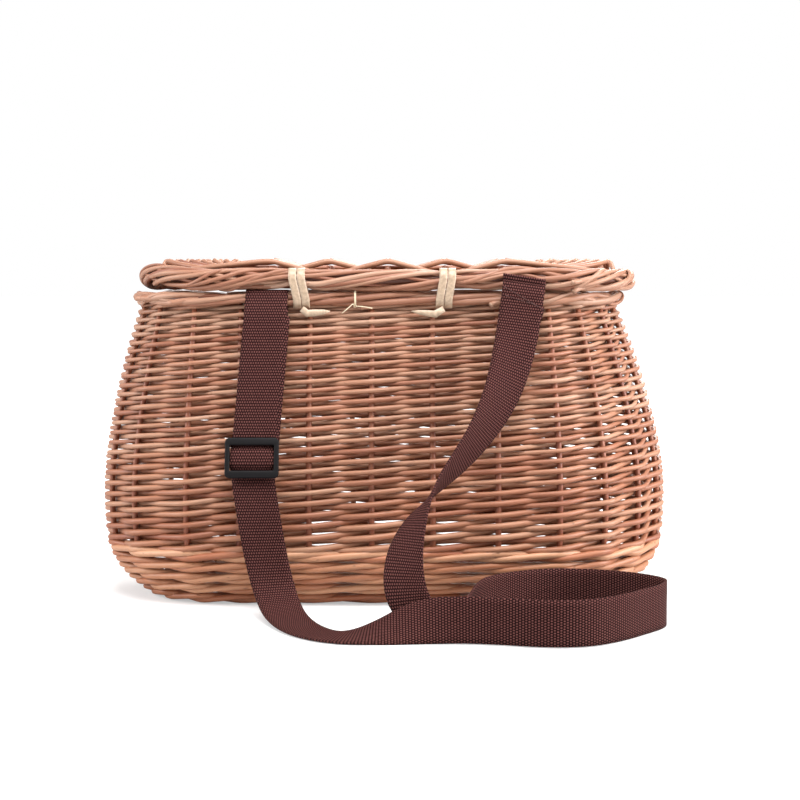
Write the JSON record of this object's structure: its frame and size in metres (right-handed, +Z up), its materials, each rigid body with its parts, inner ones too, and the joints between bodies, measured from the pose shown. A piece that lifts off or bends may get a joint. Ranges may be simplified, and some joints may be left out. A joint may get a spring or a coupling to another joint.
{
  "type": "wicker fishing creel",
  "caption": "Lidded willow creel with swelling D-shaped body, cane loop hinges, and a webbing shoulder strap with slide adjuster lying looped at its back.",
  "frame": {"origin": "floor level, under the middle of the basket", "axes": "+X along the basket's length, -Y towards the hinge side that lies on the hip, +Z up"},
  "size_m": [0.4229, 0.3376, 0.2465],
  "materials": {
    "willow": "buff willow rods, satin",
    "willow_border": "buff willow rods, satin",
    "willow_sticks": "buff willow sticks, satin",
    "cane": "flat split cane, satin",
    "thread": "twisted thread",
    "webbing": "dark brown ribbed webbing",
    "slide_plastic": "black satin plastic"
  },
  "bodies": {
    "basket": {"bottom_wale": "willow", "side_weave": "willow", "side_stakes": "willow", "base_weave": "willow", "base_cross_sticks": "willow_sticks", "base_long_sticks": "willow_sticks", "body_border": "willow_border", "hinge_loop_left": "cane", "hinge_loop_right": "cane", "tie_thread": "thread", "strap_run": "webbing", "strap_end_left": "webbing", "strap_return_layer": "webbing", "strap_end_right": "webbing"},
    "lid": {"lid_border": "willow_border", "lid_weave": "willow", "lid_cross_sticks": "willow_sticks", "lid_long_sticks": "willow_sticks", "closing_peg": "willow_sticks"},
    "closing_loop": {"closing_loop": "willow_sticks"},
    "slide_adjuster": {"slide_adjuster": "slide_plastic", "webbing_over_bar": "webbing"}
  },
  "joints": [
    {"name": "lid_hinge", "type": "hinge", "parent": "basket", "child": "lid", "pos_m": [0, -0.073, 0.2323], "axis": [1, 0, 0], "range_deg": [0, 110]},
    {"name": "closing_loop_swing", "type": "hinge", "parent": "basket", "child": "closing_loop", "pos_m": [0, 0.073, 0.2169], "axis": [1, 0, 0], "range_deg": [0, 107]},
    {"name": "adjuster_slide", "type": "slide", "parent": "basket", "child": "slide_adjuster", "axis": [0.0723, 0.2581, 0.9634], "range_m": [0, 0.04], "deforming": ["strap_return_layer"]}
  ]
}
